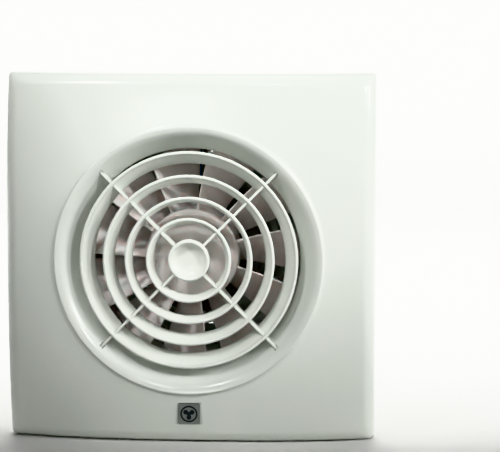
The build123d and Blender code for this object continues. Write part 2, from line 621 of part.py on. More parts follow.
def impeller():
    """Eleven-blade axial impeller with a domed hub, moulded in one piece."""
    blade = loft([blade_section(HUB_RADIUS - 3), blade_section(TIP_RADIUS + 3)], ruled=True)
    blade = blade & tube(TIP_RADIUS, HUB_RADIUS - 0.8, BLADE_FRONT - 5, BLADE_BACK + 5)
    nose_rise = BLADE_FRONT - HUB_NOSE
    cap_radius = (HUB_RADIUS**2 + nose_rise**2) / (2 * nose_rise)
    cap = Pos(0, HUB_NOSE + cap_radius, 0) * Sphere(cap_radius)
    hub = rod(HUB_RADIUS, HUB_NOSE - 1, BLADE_BACK) & cap
    hollow = Pos(0, HUB_WALL, 0) * cap & rod(HUB_RADIUS - HUB_WALL, HUB_NOSE - 1, BLADE_BACK + 1)
    hub = hub - hollow
    boss = rod(HUB_BOSS, HUB_NOSE + 1.2, BLADE_BACK + 1)
    hub = hub + boss - rod(SHAFT_RADIUS + SEAT, SHAFT_FRONT - 0.5, BLADE_BACK + 2)
    blades = []
    for number in range(BLADE_COUNT):
        # the leading edge is at the blade's anticlockwise end
        clockwise = FIRST_BLADE + BLADE_TURN * (number + BLADE_CHORD / 2)
        blades.append(turn_to(90 - clockwise, blade_hand(blade)))
    return union([hub] + blades)


def blade_hand(blade):
    """The blade mirrored, so that its chord runs clockwise, seen from the front, going back."""
    return mirror(blade, about=Plane.XY)


def impeller_clip():
    """Spring band that closes the impeller's boss on the shaft."""
    band = tube(HUB_BOSS + 1.0, HUB_BOSS + SEAT, BLADE_BACK - 4, BLADE_BACK)
    return band - block(0, HUB_BOSS + 3, BLADE_BACK - 5, BLADE_BACK + 1, -0.8, 0.8)


# ---------------------------------------------------------------- motor

def motor_shell(end, split, exit_slot):
    """Half shell from its closed end to the split plane, with three ears."""
    inward = 1 if split > end else -1

    def span(first, second):
        return sorted((end + inward * first, end + inward * second))

    length = abs(split - end)
    seat_end = BEARING_SEAT + BEARING_WIDTH
    shell = rod(MOTOR_RADIUS, *span(0, length))
    shell = shell - rod(CAVITY_RADIUS, *span(SHELL_WALL, length + 1))
    shell = shell + rod(BEARING_RADIUS + 2, *span(SHELL_WALL / 2, seat_end + LOOSE))
    shell = shell - rod(BEARING_RADIUS + SEAT, *span(BEARING_SEAT, seat_end + 1))
    if not exit_slot:
        shell = shell - rod(SHAFT_RADIUS + 2, *span(-1, length))
    for angle in MOUNT_ANGLES:
        x, z = around(EAR_PITCH, angle)
        ear = rod(EAR_RADIUS, *span(length - EAR_LENGTH, length), x, z)
        shell = shell + (ear - rod(CAVITY_RADIUS, MOTOR_FRONT, MOTOR_BACK))
        shell = shell - rod(TIE_SCREW[2] + 0.15, *span(length - EAR_LENGTH - 1, length + 1), x, z)
    if exit_slot:
        wide = CHANNEL_WIDTH / 2 + 0.05
        high = BUSH_HALF + 0.05
        y0, y1 = LEAD_EXIT - high, LEAD_EXIT + high
        shell = shell - block(-wide, wide, y0, y1, CAVITY_RADIUS - 6, MOTOR_RADIUS + 2)
    return shell


def motor_tie_screws():
    """Three screws that hold the two half shells together."""
    places = [around(EAR_PITCH, angle) for angle in MOUNT_ANGLES]
    seat = MOTOR_SPLIT - EAR_LENGTH
    return Compound(children=[screw(TIE_SCREW, seat, 2 * EAR_LENGTH, x, z) for x, z in places])


def shading_loop(grow):
    """Closed copper turn round the trailing tip of the pole shoe on +X."""
    middle = (SHOE_INNER + SHOE_OUTER) / 2
    half = STACK_LENGTH / 2 + SHADE_BAR + 0.1 + grow
    side = SHADE_WIDTH / 2 + SHADE_BAR + grow
    inset = SHADE_BAR + 2 * grow
    loop = Box(1.6 + 2 * grow, 2 * half, 2 * side)
    loop = loop - Box(9, 2 * (half - inset), 2 * (side - inset))
    return turn_to(SHADE_ANGLE, Pos(middle, STACK_FRONT + STACK_LENGTH / 2, 0) * loop)


def stator_core():
    """Laminated two-pole core: a round yoke, two necks and two pole shoes."""
    yoke = tube(YOKE_OUTER, YOKE_INNER, STACK_FRONT, STACK_BACK)
    neck = block(SHOE_INNER + 1, YOKE_INNER + 1, STACK_FRONT, STACK_BACK, -NECK_HALF, NECK_HALF)
    shoe = tube(SHOE_OUTER, SHOE_INNER, STACK_FRONT, STACK_BACK)
    shoe = shoe & wedge(SHOE_OUTER + 2, -SHOE_SPAN, SHOE_SPAN, STACK_FRONT, STACK_BACK)
    pole = neck + shoe - rod(SHOE_INNER, 0, 99) - shading_loop(0.1)
    return yoke + pole + turn_to(180, pole)


def shading_rings():
    """Shading turns of the two poles."""
    return Compound(children=[turn_to(turn, shading_loop(0)) for turn in (0, 180)])


def bobbin():
    """Insulating bobbin on the pole neck of +X."""
    wall = BOBBIN_WALL
    core_z = NECK_HALF + wall
    core = block(BOBBIN_INNER, BOBBIN_OUTER, STACK_FRONT - wall, STACK_BACK + wall, -core_z, core_z)
    y0, y1 = STACK_FRONT - BOBBIN_OVERHANG, STACK_BACK + BOBBIN_OVERHANG
    flanges = [block(x, x + BOBBIN_FLANGE, y0, y1, -BOBBIN_HALF, BOBBIN_HALF)
               for x in (BOBBIN_INNER, BOBBIN_OUTER - BOBBIN_FLANGE)]
    gap = 0.05
    neck = block(0, CAVITY_RADIUS, STACK_FRONT - gap, STACK_BACK + gap, -NECK_HALF - gap, NECK_HALF + gap)
    return union([core] + flanges) - neck


def winding():
    """Copper coil on the bobbin of +X."""
    gap = 0.05
    x0, x1 = BOBBIN_INNER + BOBBIN_FLANGE + gap, BOBBIN_OUTER - BOBBIN_FLANGE - gap
    y0, y1 = STACK_FRONT - BOBBIN_OVERHANG + 0.4, STACK_BACK + BOBBIN_OVERHANG - 0.4
    coil = block(x0, x1, y0, y1, 0.4 - BOBBIN_HALF, BOBBIN_HALF - 0.4)
    coil = fillet(coil.edges().filter_by(Axis.X), 3.0)
    core = BOBBIN_WALL + gap
    core_z = NECK_HALF + core
    return coil - block(x0 - 1, x1 + 1, STACK_FRONT - core, STACK_BACK + core, -core_z, core_z)


def pair(shape):
    """A piece made on +X and its twin half a turn away, as one group."""
    return Compound(children=[shape, turn_to(180, shape)])


def rotor_bars(radius, y0, y1):
    """The bars of the rotor cage."""
    places = [around(BAR_PITCH, 360 * bar / CAGE_BARS) for bar in range(CAGE_BARS)]
    return [rod(radius, y0, y1, x, z) for x, z in places]


def rotor_core():
    """Laminated rotor with a hole for each bar."""
    core = tube(ROTOR_RADIUS, SHAFT_RADIUS + SEAT, STACK_FRONT, STACK_BACK)
    return core - rotor_bars(BAR_RADIUS + 0.05, STACK_FRONT - 1, STACK_BACK + 1)


def rotor_cage():
    """Cast cage: two end rings joined by the bars."""
    thick = 2.2
    gap = 0.05
    rings = [tube(ROTOR_RADIUS - 0.4, ROTOR_RADIUS - 4.4, y, y + thick)
             for y in (STACK_FRONT - gap - thick, STACK_BACK + gap)]
    return union(rings + rotor_bars(BAR_RADIUS, STACK_FRONT - 1, STACK_BACK + 1))


def outer_race(y):
    """Outer race of a ball bearing whose front face is at y."""
    return tube(BEARING_RADIUS, OUTER_TRACK, y, y + BEARING_WIDTH)


def inner_race(y):
    """Inner race of the same bearing."""
    return tube(INNER_TRACK, SHAFT_RADIUS + SEAT, y, y + BEARING_WIDTH)


def ball_set(y):
    """Balls of a bearing in their cage."""
    middle = y + BEARING_WIDTH / 2
    half = BALL_RADIUS / 2
    cage = tube(BALL_PITCH + half, BALL_PITCH - half, middle - half, middle + half)
    balls = [Pos(x, middle, z) * Sphere(BALL_RADIUS)
             for x, z in (around(BALL_PITCH, 360 * ball / BALL_COUNT) for ball in range(BALL_COUNT))]
    return union([cage] + balls)


def elastic_mount(angle):
    """Rubber block between the motor and the cradle."""
    y0, y1 = CRADLE_FRONT + 0.5, MOTOR_BACK
    sector = tube(CRADLE_INNER, MOTOR_RADIUS, y0, y1)
    start, end = angle - MOUNT_HALF_ANGLE, angle + MOUNT_HALF_ANGLE
    return sector & wedge(CRADLE_INNER + 2, start, end, y0 - 1, y1 + 1)


def thermal_fuse():
    """One-shot thermal cut-out strapped to a winding."""
    radius = 1.6
    x = (BOBBIN_INNER + BOBBIN_OUTER) / 2
    y = STACK_BACK + BOBBIN_OVERHANG - 0.3 + radius
    return Pos(x, y, 0) * Cylinder(radius, 9)


# ---------------------------------------------------------------- back-draught shutter

def shutter_flap(side, knuckle_spans):
    """Half-disc flap with its knuckles; side is +1 for the flap on +X."""
    y0, y1 = FLAP_FRONT, FLAP_FRONT + FLAP_THICK
    edge = KNUCKLE_RADIUS + SLIP + 0.1
    flap = rod(FLAP_RADIUS, y0, y1) & block(edge, FLAP_RADIUS + 1, y0, y1, -FLAP_RADIUS, FLAP_RADIUS)
    # the corners are cut away so far that they swing past the edge of the pin's sockets
    notch_x = hypot(PIN_BOSS_HALF, PIN_BOSS_BACK) + 2 * SLIP
    notch_z = BOSS_INNER - SLIP
    for low, high in ((notch_z, TUBE_RADIUS), (-TUBE_RADIUS, -notch_z)):
        flap = flap - block(0, notch_x, y0 - 1, y1 + 1, low, high)
    for low, high in knuckle_spans:
        flap = flap + Pos(0, SHUTTER_Y, (low + high) / 2) * Cylinder(KNUCKLE_RADIUS, high - low)
        flap = flap + block(0, edge + 1, y0, y1, low, high)
    flap = flap - Pos(0, SHUTTER_Y, 0) * Cylinder(PIN_RADIUS + RUNNING, 3 * TUBE_RADIUS)
    return flap if side > 0 else mirror(flap, about=Plane.YZ)


def shutter_pin():
    """Steel hinge pin across the tube."""
    return Pos(0, SHUTTER_Y, 0) * Cylinder(PIN_RADIUS, 2 * PIN_REACH - 0.2)


def shutter_springs():
    """Two small coil springs round the middle of the pin."""
    length = 2.4
    path = Helix(pitch=length / 3, height=length, radius=1.55)
    section = Plane(origin=path @ 0, z_dir=path % 0) * Circle(0.25)
    coil = sweep(section, path=path)
    return Compound(children=[Pos(0, SHUTTER_Y, middle - length / 2) * coil for middle in (-2.0, 2.0)])


# ---------------------------------------------------------------- the assembly

pieces = {
    "front_cover": front_cover(),
    "ring_grille": ring_grille(),
    "badge_plate": badge_plate(),
    "badge_emblem": badge_emblem(),
    "base_plate": base_plate(),
    "duct_tube": duct_tube(),
    "motor_cradle": motor_cradle(),
    "cable_grommet": cable_grommet(),
    "cable_clamp": cable_clamp(),
    "clamp_screws": clamp_screws(),
    "terminal_block": terminal_block(),
    "terminal_screws": terminal_screws(),
    "terminal_cover": terminal_cover(),
    "terminal_cover_screw": terminal_cover_screw(),
    "motor_lead_brown": motor_lead(LEAD_OFFSET, TERMINAL_Z[0]),
    "motor_lead_blue": motor_lead(-LEAD_OFFSET, TERMINAL_Z[1]),
    "lead_grommet": lead_grommet(),
    "impeller": impeller(),
    "impeller_clip": impeller_clip(),
    "motor_shaft": rod(SHAFT_RADIUS, SHAFT_FRONT, SHAFT_BACK),
    "motor_front_shell": motor_shell(MOTOR_FRONT, MOTOR_SPLIT, False),
    "motor_rear_shell": motor_shell(MOTOR_BACK, MOTOR_SPLIT, True),
    "motor_tie_screws": motor_tie_screws(),
    "stator_core": stator_core(),
    "shading_rings": shading_rings(),
    "coil_bobbins": pair(bobbin()),
    "copper_windings": pair(winding()),
    "thermal_fuse": thermal_fuse(),
    "rotor_core": rotor_core(),
    "rotor_cage": rotor_cage(),
    "front_outer_race": outer_race(FRONT_BEARING),
    "front_inner_race": inner_race(FRONT_BEARING),
    "front_ball_set": ball_set(FRONT_BEARING),
    "rear_outer_race": outer_race(REAR_BEARING),
    "rear_inner_race": inner_race(REAR_BEARING),
    "rear_ball_set": ball_set(REAR_BEARING),
    "shutter_flap_right": shutter_flap(1, RIGHT_KNUCKLES),
    "shutter_flap_left": shutter_flap(-1, LEFT_KNUCKLES),
    "shutter_pin": shutter_pin(),
    "shutter_springs": shutter_springs(),
}
for number, angle in enumerate(MOUNT_ANGLES, start=1):
    pieces[f"elastic_mount_{number}"] = elastic_mount(angle)

os.makedirs("parts", exist_ok=True)
for name, shape in pieces.items():
    export_step(shape, f"parts/{name}.step")
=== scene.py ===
import math

import bpy
import numpy as np
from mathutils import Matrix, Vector


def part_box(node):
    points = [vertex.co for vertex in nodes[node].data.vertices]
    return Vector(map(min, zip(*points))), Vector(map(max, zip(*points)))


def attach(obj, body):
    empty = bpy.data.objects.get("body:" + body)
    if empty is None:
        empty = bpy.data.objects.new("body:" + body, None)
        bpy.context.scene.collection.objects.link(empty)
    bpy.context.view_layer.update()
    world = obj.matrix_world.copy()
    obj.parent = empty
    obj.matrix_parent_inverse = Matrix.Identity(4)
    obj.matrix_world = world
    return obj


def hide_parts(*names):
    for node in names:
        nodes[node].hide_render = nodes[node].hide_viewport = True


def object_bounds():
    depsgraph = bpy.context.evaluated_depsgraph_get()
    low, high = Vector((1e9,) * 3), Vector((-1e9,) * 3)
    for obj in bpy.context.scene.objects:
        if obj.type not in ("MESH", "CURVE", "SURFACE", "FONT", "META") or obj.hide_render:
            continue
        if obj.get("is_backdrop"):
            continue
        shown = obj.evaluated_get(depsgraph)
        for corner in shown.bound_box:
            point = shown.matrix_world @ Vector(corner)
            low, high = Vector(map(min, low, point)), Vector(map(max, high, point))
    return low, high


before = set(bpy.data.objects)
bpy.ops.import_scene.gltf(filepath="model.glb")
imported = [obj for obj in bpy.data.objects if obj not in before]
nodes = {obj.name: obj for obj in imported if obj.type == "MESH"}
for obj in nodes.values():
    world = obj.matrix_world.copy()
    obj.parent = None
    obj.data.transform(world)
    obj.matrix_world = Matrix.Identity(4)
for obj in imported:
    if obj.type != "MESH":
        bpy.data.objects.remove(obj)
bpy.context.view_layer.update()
MM = 0.001

# ---------------------------------------------------------------- front cover
# The cover is one injection moulding of white ABS: a domed square whose round bezel turns
# in to the air inlet.  The tool is polished, so the plastic is glossy with a faint waviness.
# It pushes on to the base on four pegs and hides the wiring and the wall screws.

cover_low, cover_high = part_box("front_cover")
cover_half = cover_high.x
cover_crown = -cover_low.y                # depth of the bezel's crown in front of the wall
skirt_back = cover_high.y                 # back edge of the sides
cover_wall = 2.2 * MM
side_drop = 4.5 * MM
corner_drop = 5.5 * MM
edge_round = 5.2 * MM
corner_radius = 2.0 * MM                  # of the square, seen from the front
lip_radius = 57.5 * MM
lip_round = 0.6 * MM                      # round over the lip's crown
funnel_drop = 2.3 * MM                    # from the lip's crown back to where the funnel starts
back_round = 0.5 * MM                     # round of the side's back edge
inner_corner = 1.2 * MM
roof_inset = 3.0 * MM                     # bevel between the sides and the face, inside
funnel_radius = 52.9 * MM                 # where the lip turns into the funnel
throat_radius = 47.0 * MM
throat_y = -14.8 * MM


def dome(x, z):
    """Depth of the face: the crown less fourth powers of x and z and the product of squares."""
    fall = side_drop * (x**4 + z**4) + corner_drop * x**2 * z**2
    return cover_crown - fall / cover_half**4


def square_outline(half, corner, per_side, per_corner):
    """A square with round corners: straight runs joined by quarter circles, corner by corner."""
    run = np.linspace(-1, 1, per_side, endpoint=False) * (half - corner)
    turn = np.linspace(0, math.pi / 2, per_corner, endpoint=False)
    x = np.concatenate([np.full(per_side, half), half - corner + corner * np.cos(turn)])
    z = np.concatenate([run, half - corner + corner * np.sin(turn)])
    quarters = [(x, z), (-z, x), (-x, -z), (z, -x)]
    return (np.concatenate([q[0] for q in quarters]), np.concatenate([q[1] for q in quarters]))


def surface_mesh(name, points, close_rows, close_columns):
    """A mesh of quads from a grid of points (rows, columns, 3), its ends joined where closed."""
    rows, columns = points.shape[:2]
    index = np.arange(rows * columns).reshape(rows, columns)
    if close_rows:
        index = np.vstack([index, index[:1]])
    if close_columns:
        index = np.hstack([index, index[:, :1]])
    quads = np.stack([index[:-1, :-1], index[1:, :-1], index[1:, 1:], index[:-1, 1:]], -1)
    mesh = bpy.data.meshes.new(name)
    mesh.from_pydata(points.reshape(-1, 3).tolist(), [], quads.reshape(-1, 4).tolist())
    mesh.shade_smooth()
    return mesh


def show(name, mesh, body, slot_name, *stands_for):
    """A finished piece from a mesh, riding on a body and standing for CAD nodes."""
    piece = bpy.data.objects.new(name, mesh)
    bpy.context.scene.collection.objects.link(piece)
    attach(piece, body)
    if stands_for:
        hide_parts(*stands_for)
    return piece


def arc_points(centre, radii, start, end, count):
    """Points (r, y) on an arc or quarter ellipse between two angles in degrees."""
    angle = np.radians(np.linspace(start, end, count))
    return np.stack([centre[0] + radii[0] * np.cos(angle), centre[1] + radii[1] * np.sin(angle)], 1)


def cover_surface():
    """The cover's closed skin as rows of one outline, from the throat out over the face,
    round the edge, along the side, and back along the inside of the wall to the throat.
    Rows inside the bezel are circles; rows of the face go straight from the bezel's circle to
    the square outline and take their depth from the dome formula."""
    outline = square_outline(cover_half, corner_radius, 64, 10)
    angle = np.arctan2(outline[1], outline[0])
    circle = np.stack([np.cos(angle), np.sin(angle)])
    rows = []

    def circles(profile):
        for radius, y in profile:
            rows.append(np.stack([radius * circle[0], np.full(angle.size, y), radius * circle[1]], 1))

    def face_row(x, z, depth):
        rows.append(np.stack([x, -depth, z], 1))

    # funnel from the throat to the lip, its surface slightly bulged
    share = np.linspace(0, 1, 10)
    bulge = 0.35 * MM * np.sin(math.pi * share)
    funnel = np.stack([throat_radius + (funnel_radius - throat_radius) * share - bulge,
                       throat_y + (-cover_crown + funnel_drop - throat_y) * share], 1)
    circles(arc_points((throat_radius + 0.5 * MM, throat_y), (0.5 * MM, 0.5 * MM), 90, 180, 4)[:-1])
    circles(funnel)
    # lip: a gentle convex slope up to the crown, a small round over it and a short outer flank
    rise = np.linspace(0, 1, 12)
    crown_radius = lip_radius - lip_round
    swell = 0.45 * MM * np.sin(math.pi * rise)
    slope = np.stack([funnel_radius + (crown_radius - funnel_radius) * rise - 0.5 * swell,
                      -cover_crown + funnel_drop * (1 - rise) - 0.86 * swell], 1)
    slope[:, 1] = np.maximum(slope[:, 1], -cover_crown)
    circles(slope[1:-1])
    circles(arc_points((crown_radius, -cover_crown + lip_round), (lip_round, -lip_round), 90, 0, 6))
    foot = lip_radius + 0.25 * MM
    # face from the foot of the lip to the start of the edge's rounding
    inner_x, inner_z = square_outline(cover_half - edge_round, 3.4 * MM, 64, 10)
    for share in np.linspace(0, 1, 30) ** 0.9:
        x = (1 - share) * foot * circle[0] + share * inner_x
        z = (1 - share) * foot * circle[1] + share * inner_z
        face_row(x, z, dome(x, z))
    # rounded edge: a quarter circle in plan inset and depth
    for turn in np.radians(np.linspace(0, 90, 11)[1:]):
        inset = edge_round * (1 - math.sin(turn))
        x, z = square_outline(cover_half - inset, corner_radius + 0.27 * inset, 64, 10)
        face_row(x, z, dome(x, z) - edge_round * (1 - math.cos(turn)))
    # side down to its back edge, then round into the inside
    last = rows[-1][:, 1]
    for share in (0.33, 0.66, 0.93):
        rows.append(np.stack([outline[0], last + (skirt_back - last) * share, outline[1]], 1))
    for turn in np.radians((0, 30, 60, 90)):
        inset = back_round * (1 - math.cos(turn))
        x, z = square_outline(cover_half - inset, corner_radius, 64, 10)
        edge_y = skirt_back - back_round * (1 - math.sin(turn))
        rows.append(np.stack([x, np.full(x.size, edge_y), z], 1))
    skirt = square_outline(cover_half - cover_wall, inner_corner, 64, 10)
    rows.append(np.stack([skirt[0], np.full(angle.size, skirt_back), skirt[1]], 1))
    roof = dome(*skirt) - cover_wall - roof_inset
    rows.append(np.stack([skirt[0], -roof, skirt[1]], 1))
    under = square_outline(cover_half - cover_wall - roof_inset, inner_corner, 64, 10)
    for share in np.linspace(1, 0, 14):
        x = (1 - share) * (foot + 0.6 * MM) * circle[0] + share * under[0]
        z = (1 - share) * (foot + 0.6 * MM) * circle[1] + share * under[1]
        face_row(x, z, dome(x, z) - cover_wall)
    circles([(funnel_radius + 1.9 * MM, -cover_crown + 3.4 * MM), (throat_radius + 2.0 * MM, throat_y)])
    return surface_mesh("front_cover_shell", np.array(rows), True, True)


def box_cutter(centre, size, turn_y=0.0, turn_x=0.0):
    """The eight corners of a box turned about X, then Y, and moved to its centre."""
    corners = np.array([(x, y, z) for x in (-1, 1) for y in (-1, 1) for z in (-1, 1)]) * np.array(size) / 2
    cy, sy, cx, sx = math.cos(turn_y), math.sin(turn_y), math.cos(turn_x), math.sin(turn_x)
    corners = corners @ np.array([[1, 0, 0], [0, cx, sx], [0, -sx, cx]])
    corners = corners @ np.array([[cy, 0, -sy], [0, 1, 0], [sy, 0, cy]])
    return corners + np.array(centre)


BOX_FACES = [(0, 1, 3, 2), (4, 6, 7, 5), (0, 4, 5, 1), (2, 3, 7, 6), (0, 2, 6, 4), (1, 5, 7, 3)]
spoke_turns = np.radians((45, 135, 225, 315))
slot_radius = 53.4 * MM
slot_y = -22.2 * MM
slot_size = (3.4 * MM, 4.6 * MM, 1.7 * MM)
pocket_size = (9.5 * MM, 1.2 * MM, 9.5 * MM)      # half of its depth lies in the cover
badge_low, badge_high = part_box("badge_plate")
badge_z = (badge_low.z + badge_high.z) / 2
badge_tilt = math.atan(4 * side_drop * abs(badge_z)**3 / cover_half**4)


def cutters():
    """One mesh of separate boxes: a slot for each spoke's end and the badge's pocket."""
    boxes = []
    for turn in spoke_turns:
        place = (slot_radius * math.cos(turn), slot_y, slot_radius * math.sin(turn))
        boxes.append(box_cutter(place, slot_size, turn_y=-turn))
    pocket = (0, -dome(0, badge_z), badge_z)
    boxes.append(box_cutter(pocket, pocket_size, turn_x=badge_tilt))
    faces = [tuple(8 * i + c for c in face) for i in range(len(boxes)) for face in BOX_FACES]
    mesh = bpy.data.meshes.new("cutters")
    mesh.from_pydata(np.concatenate(boxes).tolist(), [], faces)
    return mesh


def carve(mesh, tool_mesh):
    """The mesh less the tool, both closed, by Blender's boolean for manifold meshes."""
    body = bpy.data.objects.new("carve_body", mesh)
    tool = bpy.data.objects.new("carve_tool", tool_mesh)
    for item in (body, tool):
        bpy.context.scene.collection.objects.link(item)
    cut = body.modifiers.new("cut", "BOOLEAN")
    cut.operation = "DIFFERENCE"
    cut.solver = "MANIFOLD"
    cut.object = tool
    depsgraph = bpy.context.evaluated_depsgraph_get()
    result = bpy.data.meshes.new_from_object(body.evaluated_get(depsgraph))
    result.materials.clear()
    for item in (body, tool):
        bpy.data.objects.remove(item)
    return result


def linear(code):
    """An sRGB hex colour as linear red, green, blue and alpha."""
    srgb = np.array([int(code[i:i + 2], 16) / 255 for i in (1, 3, 5)])
    low = srgb / 12.92
    high = ((srgb + 0.055) / 1.055) ** 2.4
    return (*np.where(srgb <= 0.04045, low, high).tolist(), 1.0)


def add_node(material, kind, inputs=(), **settings):
    """Adds a node of a kind; inputs are pairs of a socket and a value or another node's output."""
    made = material.node_tree.nodes.new(kind)
    for key, value in settings.items():
        setattr(made, key, value)
    for socket, value in inputs:
        if isinstance(value, bpy.types.NodeSocket):
            material.node_tree.links.new(value, made.inputs[socket])
        else:
            made.inputs[socket].default_value = value
    return made


def new_material(name, **sockets):
    """A material with its Principled shader, whose sockets are set by name with _ for a space."""
    material = bpy.data.materials.new(name)
    material.use_nodes = True
    shader = material.node_tree.nodes["Principled BSDF"]
    for key, value in sockets.items():
        shader.inputs[key.replace("_", " ")].default_value = value
    return material, shader


def join(material, source, shader, socket):
    """Links a node's output to a socket of the shader."""
    material.node_tree.links.new(source, shader.inputs[socket])


def moulded(name, light, dark, rough, grain_mm, grain_depth_mm, wave_depth_mm=0.0, **sockets):
    """A moulded plastic: two close tones in slow clouds, a fine grain in bump and roughness,
    and, where asked, the faint waviness that a polished tool leaves in a large wall."""
    material, shader = new_material(name, IOR=1.53, **sockets)
    place = add_node(material, "ShaderNodeTexCoord").outputs["Object"]
    clouds = add_node(material, "ShaderNodeTexNoise", [("Vector", place), ("Scale", 22.0), ("Detail", 3.0)])
    tone = add_node(material, "ShaderNodeValToRGB", [("Fac", clouds.outputs["Fac"])])
    tone.color_ramp.elements[0].position = 0.35
    tone.color_ramp.elements[0].color = linear(dark)
    tone.color_ramp.elements[1].position = 0.65
    tone.color_ramp.elements[1].color = linear(light)
    join(material, tone.outputs["Color"], shader, "Base Color")
    grain = add_node(material, "ShaderNodeTexNoise",
                     [("Vector", place), ("Scale", 1 / (grain_mm * MM)), ("Detail", 2.0)])
    spread = add_node(material, "ShaderNodeMapRange",
                      [("Value", grain.outputs["Fac"]), ("To Min", rough * 0.85), ("To Max", rough * 1.2)])
    join(material, spread.outputs["Result"], shader, "Roughness")
    bump = add_node(material, "ShaderNodeBump",
                    [("Height", grain.outputs["Fac"]), ("Distance", grain_depth_mm * MM), ("Strength", 0.5)])
    if wave_depth_mm:
        wave = add_node(material, "ShaderNodeTexNoise", [("Vector", place), ("Scale", 35.0), ("Detail", 1.0)])
        bump = add_node(material, "ShaderNodeBump",
                        [("Height", wave.outputs["Fac"]), ("Distance", wave_depth_mm * MM),
                         ("Strength", 0.6), ("Normal", bump.outputs["Normal"])])
    join(material, bump.outputs["Normal"], shader, "Normal")
    return material


cover_abs = moulded("polished_white_abs", "#E0E4DD", "#DBE0D9", 0.17, 0.35, 0.006, wave_depth_mm=0.05)
cover_mesh = carve(cover_surface(), cutters())
cover_mesh.materials.append(cover_abs)
show("front_cover_shell", cover_mesh, "cover", "cover_plastic", "front_cover")

# The four pegs inside the cover are round pins with a chamfered end, moulded with it.
peg_x, peg_z = 62.0 * MM, 32.0 * MM
peg_radius, peg_tip = 3.0 * MM, 2.4 * MM
peg_back = -9.0 * MM
peg_places = [(x, z) for x in (-peg_x, peg_x) for z in (-peg_z, peg_z)]


def lathe(name, profile, steps=96, centre=(0.0, 0.0)):
    """A closed outline of (r, y) points turned about an axis along Y through centre."""
    turn = np.linspace(0, 2 * math.pi, steps, endpoint=False)
    profile = np.asarray(profile, float)
    x = centre[0] + np.outer(profile[:, 0], np.sin(turn))
    z = centre[1] + np.outer(profile[:, 0], np.cos(turn))
    y = np.repeat(profile[:, 1:2], steps, 1)
    return surface_mesh(name, np.stack([x, y, z], -1), True, True)


def solid_lathe(name, profile, steps=96, centre=(0.0, 0.0)):
    """As lathe, for an outline that starts and ends on the axis, with one vertex at each pole."""
    inner = np.asarray(profile, float)[1:-1]
    mesh = lathe(name, inner, steps, centre)
    points = np.empty(len(mesh.vertices) * 3)
    mesh.vertices.foreach_get("co", points)
    rows, last = len(inner), len(mesh.vertices)
    quads = [tuple(face.vertices) for face in mesh.polygons][:(rows - 1) * steps]
    poles = [(centre[0], profile[0][1], centre[1]), (centre[0], profile[-1][1], centre[1])]
    ring = np.arange(steps)
    first_fan = np.stack([np.full(steps, last), ring, (ring + 1) % steps], 1)
    base = (rows - 1) * steps
    last_fan = np.stack([np.full(steps, last + 1), base + (ring + 1) % steps, base + ring], 1)
    closed = bpy.data.meshes.new(name)
    bpy.data.meshes.remove(mesh)
    closed.from_pydata(points.reshape(-1, 3).tolist() + poles, [],
                       quads + first_fan.tolist() + last_fan.tolist())
    closed.shade_smooth()
    return closed


def enclosed(points, faces):
    """Volume inside a closed shell, by the divergence theorem; negative if it is inside out."""
    total = 0.0
    for face in faces:
        for second, third in zip(face[1:-1], face[2:]):
            total += np.dot(points[face[0]], np.cross(points[second], points[third])) / 6
    return total


def merge(name, meshes):
    """Several meshes as one, each a closed shell of its own, turned to face outwards."""
    points, faces, start = [], [], 0
    for mesh in meshes:
        flat = np.empty(len(mesh.vertices) * 3)
        mesh.vertices.foreach_get("co", flat)
        shell = [tuple(face.vertices) for face in mesh.polygons]
        if enclosed(flat.reshape(-1, 3), shell) < 0:
            shell = [face[::-1] for face in shell]
        points.append(flat.reshape(-1, 3))
        faces += [tuple(start + v for v in face) for face in shell]
        start += len(mesh.vertices)
        bpy.data.meshes.remove(mesh)
    joined = bpy.data.meshes.new(name)
    joined.from_pydata(np.concatenate(points).tolist(), [], faces)
    joined.shade_smooth()
    return joined


peg_root = -dome(peg_x, peg_z) + 1.2 * MM
peg_profile = [(0, peg_back), (peg_tip, peg_back), (peg_radius, peg_back - 0.8 * MM),
               (peg_radius, peg_root), (0, peg_root)]
peg_mesh = merge("cover_pegs", [solid_lathe("peg", peg_profile, 32, place) for place in peg_places])
peg_mesh.set_sharp_from_angle(angle=math.radians(35))
peg_mesh.materials.append(cover_abs)
show("cover_pegs", peg_mesh, "cover", "cover_plastic")

# ---------------------------------------------------------------- ring grille
# A second ABS moulding: a shallow dish, four rings that flare towards the room like small
# bell mouths, and four thin spokes whose ends plug into slots in the bezel.

grille_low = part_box("ring_grille")[0]
slot_drop = 2.6 * MM                      # front end of the spokes' slots, behind the crown
spoke_insert = 1.0 * MM                   # how far a spoke's end plugs into its slot
dish_radius = 8.9 * MM
ring_front = grille_low.y + 0.2 * MM
ring_back = ring_front + 8.2 * MM
ring_fronts = np.array([18.2, 27.3, 36.6, 46.6]) * MM      # outer edge of each ring
ring_backs = np.array([15.4, 24.5, 32.3, 40.8]) * MM       # inner edge at the back


def ring_profile(outer, inner):
    """Section of a louvre ring: a rounded front lip, a bulged inner flank that turns from
    facing the room to facing the axis, a thin back edge and a straight outer flank."""
    lip = 0.75 * MM
    share = np.linspace(0, 1, 12)
    start = np.array([outer - 2 * lip, ring_front + lip])
    end = np.array([inner, ring_back - 0.4 * MM])
    flank = start + np.outer(share, end - start)
    across = np.array([-(end - start)[1], (end - start)[0]]) / np.linalg.norm(end - start)
    bulge = 0.55 * MM * np.sin(math.pi * share)
    flank = flank - np.outer(bulge, across) * np.sign(across[0])
    front = arc_points((outer - lip, ring_front + lip), (lip, -lip), 15, 165, 9)
    back = arc_points((inner + 0.45 * MM, ring_back - 0.4 * MM), (0.45 * MM, 0.4 * MM), 180, 0, 6)
    return np.vstack([front, flank, back[1:]])


